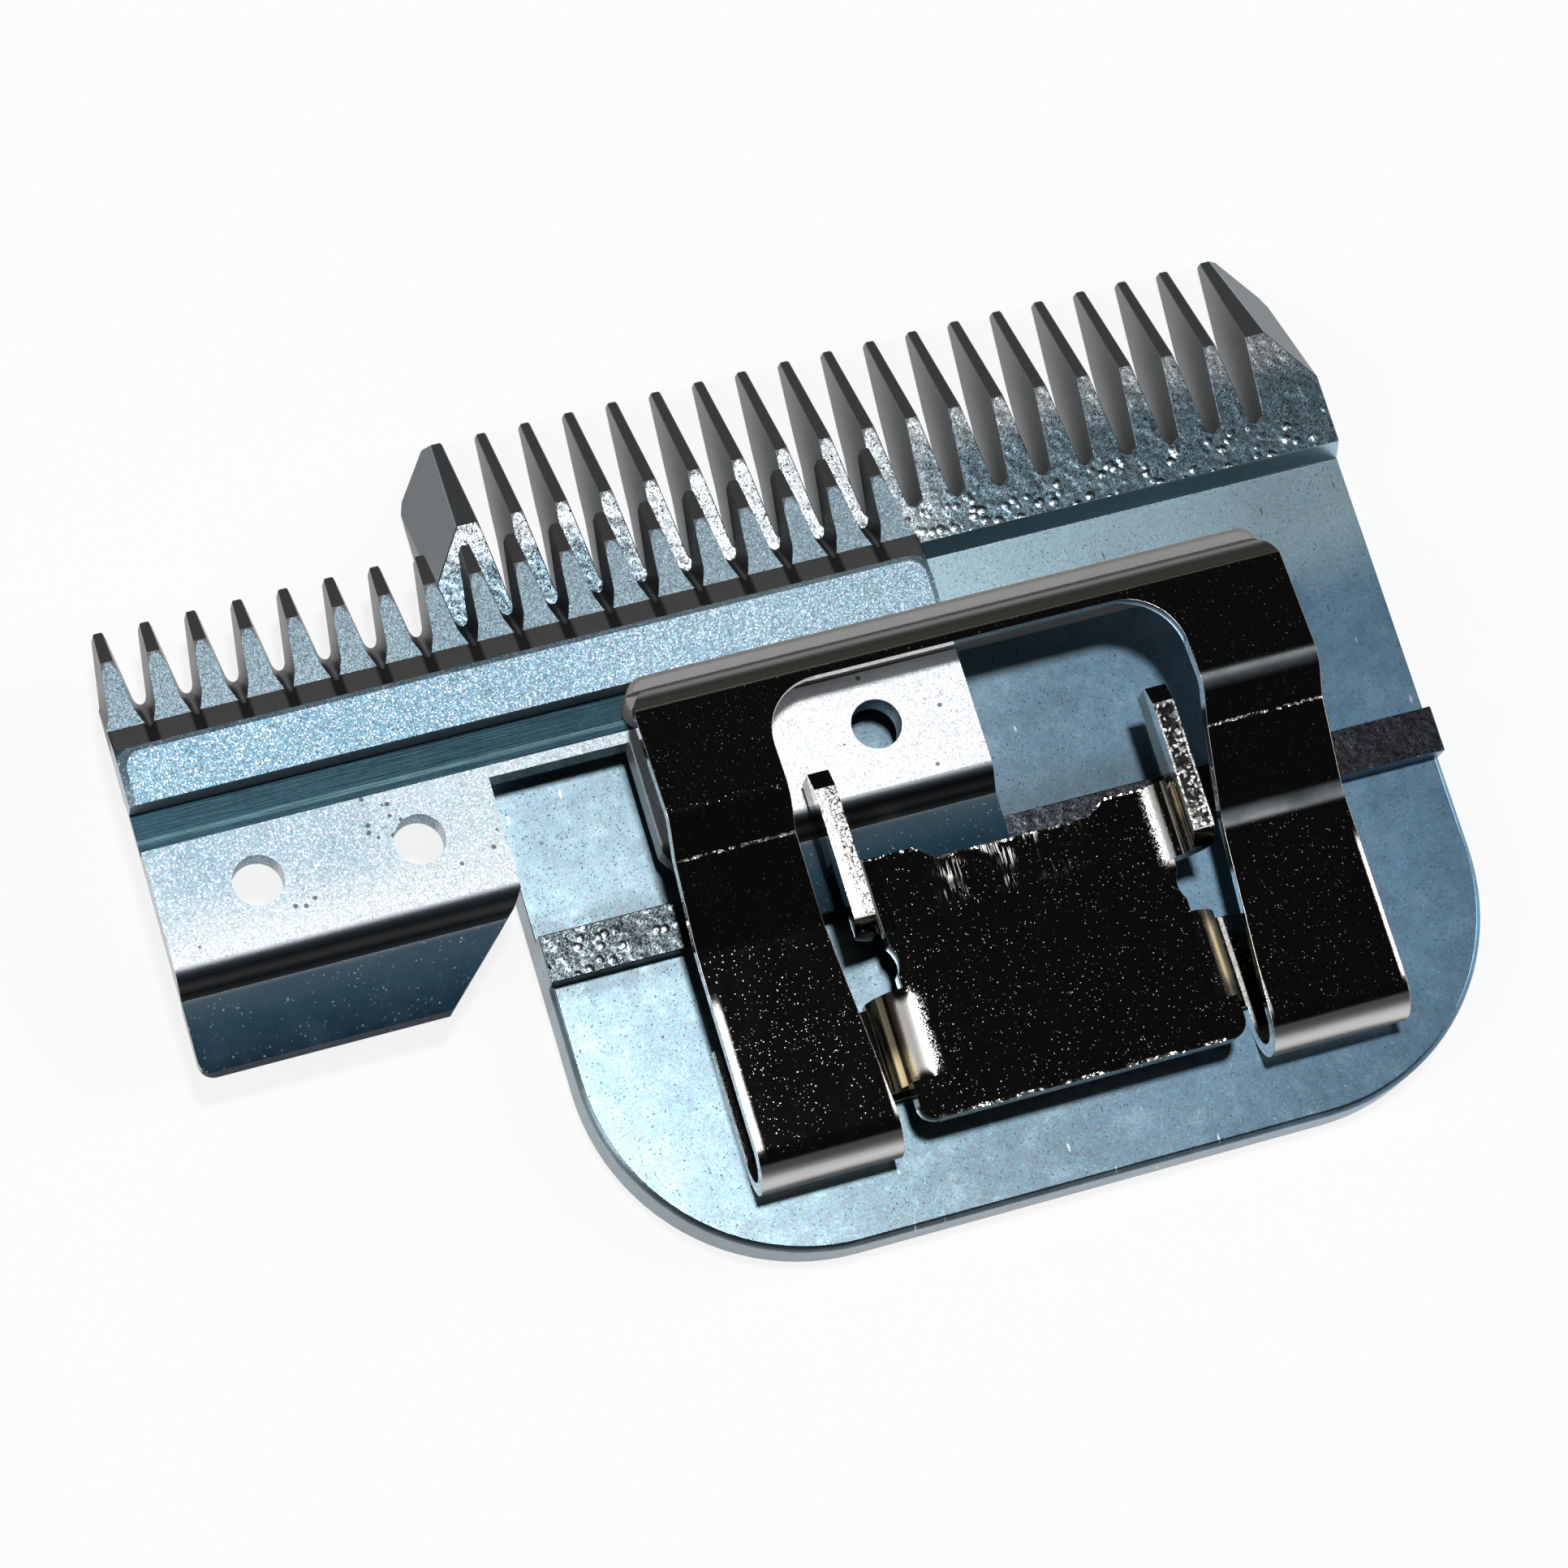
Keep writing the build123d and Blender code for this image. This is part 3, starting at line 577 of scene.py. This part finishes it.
def socket_nickel():
    s = Shader("socket_nickel")
    place = s.place()
    x, y, z = s.split(place)
    normal = s.normal()
    nx, _, nz = s.split(normal)
    wide = s.math("ABSOLUTE", x)
    base, rough, _ = nickel(s, place)
    # sides below the flat top, painted dark as a reflection, with painted warm reflections in
    # spots
    left = s.step(x, 1, -1)
    right = s.other(left)
    low = s.step(z, EAR_TOP - 0.6, EAR_TOP - 1)
    side = s.step(wide, FLAT_HALF + 0.9, FLAT_HALF + 1.3)
    side = s.product(side, low, s.step(nz, 0.97, 0.93))
    warm_reflection = s.most(s.band(y, -5.2, -4.4, soft=0.8), s.band(y, -13.5, -11.5, soft=1))
    warm_reflection = s.most(s.product(right, warm_reflection), s.product(left, s.band(y, -14.6, -14.0, soft=1.2)))
    base = s.blend(side, base, s.blend(warm_reflection, SIDE_PAINTED_DARK, SIDE_WARM_REFLECTION))
    rough = s.mix(side, rough, s.mix(s.product(right, s.step(y, -9, -10)), 0.13, 0.24))
    # broad dusty shine where the flat top leans over to the left
    grit = s.split(s.cells(place, size=0.05)[0])[0]
    along = s.product(left, s.band(y, -14.3, -11.2, soft=0.7))
    along = s.most(along, s.product(right, s.band(y, EAR_REAR, PLATE_FRONT, soft=0.6)))
    lean = s.product(s.step(nx, 0.03, 0.005), s.step(nx, -0.6, -0.4), s.step(nz, *UPWARD))
    edge = s.math("ADD", wide, s.line(grit, 0, 1, -0.35, 0.35))
    shine = s.product(lean, s.step(edge, FLAT_HALF - 0.15, FLAT_HALF + 0.2), low, along)
    rough = s.mix(shine, rough, 0.36)
    # burrs on the front and rear edges, and scratches behind the front one
    front = s.line(wide, *PLATE_MIDDLE, PLATE_FRONT - MIDDLE_SET_BACK, PLATE_FRONT)
    burr = s.step(s.math("SUBTRACT", front, y), 0.17, 0.08)
    burr = s.most(burr, s.step(y, PLATE_REAR + 0.22, PLATE_REAR + 0.1))
    burr = s.product(burr, s.step(wide, FLAT_HALF + 1, FLAT_HALF), s.step(nz, *UPWARD))
    burr = s.product(burr, s.step(s.noise(place, size=0.7), 0.4, 0.6))
    rough = s.mix(burr, rough, 0.2)
    chance, dull, _ = s.split(s.cells(s.stretched(place, (16, 1.6, 1)), size=1)[0])
    worn = s.product(s.band(x, -3.5, 2.5, soft=1.5), s.band(y, -6.0, -4.4, soft=1.2))
    worn = s.product(worn, s.step(nz, 0.98, 0.99), s.step(s.noise(place, size=1.6), 0.42, 0.6))
    worn = s.product(worn, s.step(chance, 0.6, 0.65))
    rough = s.mix(worn, rough, s.mix(dull, 0.1, 0.36))
    # sheared tops of the ears with cracks, in painted light: white at the left with a painted
    # highlight along the outer edge, dark at the right with painted glints and highlight rims
    sheared = s.product(s.step(z, EAR_TOP, EAR_TOP + 0.02), s.step(nz, 0.85, 0.95))
    dust = s.noise(place, size=0.12)
    gap = s.math("ADD", s.borders(place, size=0.21), s.line(dust, 0.3, 0.7, -0.05, 0.05))
    crack = s.step(gap, 0.02, 0.12)
    outer_highlight = s.step(wide, EAR_OUT - 0.55, EAR_OUT - 0.45)
    crack = s.most(crack, s.product(left, outer_highlight))
    grains, _ = s.cells(place, size=0.21)
    rim_highlights = (s.step(wide, EAR_OUT - 0.14, EAR_OUT - 0.1), s.step(wide, EAR_IN + 0.14, EAR_IN + 0.1))
    painted_glints = s.most(s.step(s.split(grains)[0], 0.45, 1.0), *rim_highlights)
    broken_lit = s.blend(left, s.blend(painted_glints, *BROKEN_RIGHT_GLINTS), BROKEN_LEFT_LIT)
    base = s.blend(sheared, base, s.blend(crack, CRACK, broken_lit))
    rough = s.mix(sheared, rough, 0.34)
    tilt = s.math("ADD", s.product(sheared, 0.12), s.product(burr, 0.5))
    grain = s.sparkle(normal, s.cells(place, size=0.1)[0], tilt)
    return s.finish(base, rough, grain, 1.0)


GUIDE_GREY = ((0.22, 0.213, 0.205), (0.29, 0.28, 0.27))
SCREW_GREY = ((0.35, 0.36, 0.38), (0.5, 0.5, 0.52))


def guide_plastic():
    s = Shader("guide_plastic")
    place = s.place()
    base = s.blend(s.noise(place, size=2, detail=3), *GUIDE_GREY)
    fine = s.bump(s.noise(place, size=0.15), 0.01 * MM)
    return s.finish(base, 0.5, fine, 0.0)


def screw_steel():
    s = Shader("screw_steel")
    place = s.place()
    base = s.blend(s.noise(place, size=1, detail=3), *SCREW_GREY)
    grain = s.sparkle(s.normal(), s.cells(place, size=0.12)[0], 0.1)
    return s.finish(base, 0.35, grain, 1.0)


WELD_WITHIN = 0.0005 * MM
FLAT_WITHIN = math.radians(0.4)
ROUND_OVER = math.radians(38)
ROUND_SEGMENTS = 3


# joins the corners of a CAD mesh and rounds its sharp edges a little, by modifiers only
def round_edges(piece, width):
    weld = piece.modifiers.new("join", "WELD")
    weld.merge_threshold = WELD_WITHIN
    flat = piece.modifiers.new("flat", "DECIMATE")
    flat.decimate_type = "DISSOLVE"
    flat.angle_limit = FLAT_WITHIN
    bevel = piece.modifiers.new("edges", "BEVEL")
    bevel.width = width
    bevel.segments = ROUND_SEGMENTS
    bevel.limit_method = "ANGLE"
    bevel.angle_limit = ROUND_OVER
    bevel.use_clamp_overlap = True
    bevel.harden_normals = False
    normals = piece.modifiers.new("normals", "WEIGHTED_NORMAL")
    normals.keep_sharp = False


# each node's material, and the width of its rounded edges
finishes = {
    "comb": (comb_steel(), 0.06 * MM),
    "cutter": (cutter_steel(), 0.07 * MM),
    "tension_spring": (spring_nickel(), 0.3 * MM),
    "spring_guide": (guide_plastic(), 0.1 * MM),
    "socket": (socket_nickel(), 0.15 * MM),
    "screws": (screw_steel(), 0.05 * MM),
}
for name, (material, width) in finishes.items():
    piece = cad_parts[name]
    piece.data.materials.clear()
    piece.data.materials.append(material)
    round_edges(piece, width)


# pale floor, a hair below the sole, that mostly shows as white and still takes a soft shadow
FLOOR_HALF = 2.0
FLOOR_DROP = 0.02 * MM
FLOOR_WHITE = 0.85
FLOOR_PAINT = (0.93, 0.93, 0.93, 1)


def floor():
    mesh = bpy.data.meshes.new("floor")
    turns = ((-1, -1), (1, -1), (1, 1), (-1, 1))
    corners = [(across * FLOOR_HALF, along * FLOOR_HALF, -FLOOR_DROP) for across, along in turns]
    mesh.from_pydata(corners, [], [(0, 1, 2, 3)])
    plane = bpy.data.objects.new("floor", mesh)
    bpy.context.scene.collection.objects.link(plane)
    s = Shader("floor_paint")
    fine = s.bump(s.noise(s.place(), size=3, detail=3), 0.02 * MM)
    mesh.materials.append(s.finish(FLOOR_PAINT, 0.9, fine, 0.0))
    s.surface.inputs["Specular IOR Level"].default_value = 0.1
    rays = s.node("ShaderNodeLightPath").outputs
    seen = s.most(rays["Is Camera Ray"], rays["Is Glossy Ray"], rays["Is Transmission Ray"])
    white = s.node("ShaderNodeEmission")
    mixed = s.node("ShaderNodeMixShader")
    s.feed(mixed.inputs[0], s.math("MULTIPLY", seen, FLOOR_WHITE))
    s.feed(mixed.inputs[1], s.surface.outputs[0])
    s.feed(mixed.inputs[2], white.outputs[0])
    s.feed(s.tree.nodes["Material Output"].inputs[0], mixed.outputs[0])


floor()


# an area lamp at a distance, facing the origin
def softbox(name, toward, distance, width, height, power):
    lamp = bpy.data.lights.new(name, "AREA")
    lamp.shape = "RECTANGLE"
    lamp.size = width
    lamp.size_y = height
    lamp.energy = power
    box = bpy.data.objects.new(name, lamp)
    away = Vector(toward).normalized()
    box.location = away * distance
    box.rotation_mode = "QUATERNION"
    box.rotation_quaternion = away.to_track_quat("Z", "Y")
    bpy.context.scene.collection.objects.link(box)


softbox("key", (-0.02, 0.09, 1.0), distance=0.7, width=0.06, height=0.06, power=2.6)
softbox("left", (-0.85, -0.10, 0.55), distance=0.8, width=0.3, height=0.5, power=2.2)
softbox("right", (0.85, -0.10, 0.50), distance=0.8, width=0.3, height=0.5, power=2.2)

# the world's strength at the horizon, the share of it left in front, and its least strength
HORIZON_GLOW = 0.85
FRONT_SHARE = 0.06
WORLD_LEAST = 0.005


# pale at the horizon, dark overhead and to the front
def studio():
    world = bpy.data.worlds.new("studio")
    bpy.context.scene.world = world
    world.use_nodes = True
    s = Nodes(world.node_tree)
    _, y, z = s.split(s.node("ShaderNodeTexCoord").outputs["Generated"])
    glow = s.product(s.step(z, 0.22, 0.03), HORIZON_GLOW)
    rear = s.mix(s.step(y, 0.25, 0.80), 1.0, FRONT_SHARE)
    background = s.tree.nodes["Background"]
    strength = s.math("ADD", s.product(glow, rear), WORLD_LEAST)
    s.feed(background.inputs["Strength"], strength)
    background.inputs["Color"].default_value = (1, 1, 1, 1)


studio()

# camera at the photograph's view
CAMERA_AT = Vector((-64.107, -56.883, 247.687)) * MM
CAMERA_AIM = Vector((-8.87, 2.77, 0)) * MM
CAMERA_UP = Vector((0.24128, 0.92985, 0.27777))
CAMERA_LENS = 117.06
CAMERA_SENSOR = 36
CAMERA_NEAREST = 0.01

lens = bpy.data.cameras.new("camera")
lens.lens = CAMERA_LENS
lens.sensor_width = CAMERA_SENSOR
lens.clip_start = CAMERA_NEAREST
camera = bpy.data.objects.new("camera", lens)
bpy.context.scene.collection.objects.link(camera)
ahead = (CAMERA_AIM - CAMERA_AT).normalized()
right = ahead.cross(CAMERA_UP).normalized()
up = right.cross(ahead)
turn = Matrix((right, up, -ahead)).transposed()
camera.matrix_world = Matrix.Translation(CAMERA_AT) @ turn.to_4x4()
bpy.context.scene.camera = camera

bpy.context.scene.view_settings.view_transform = "Standard"
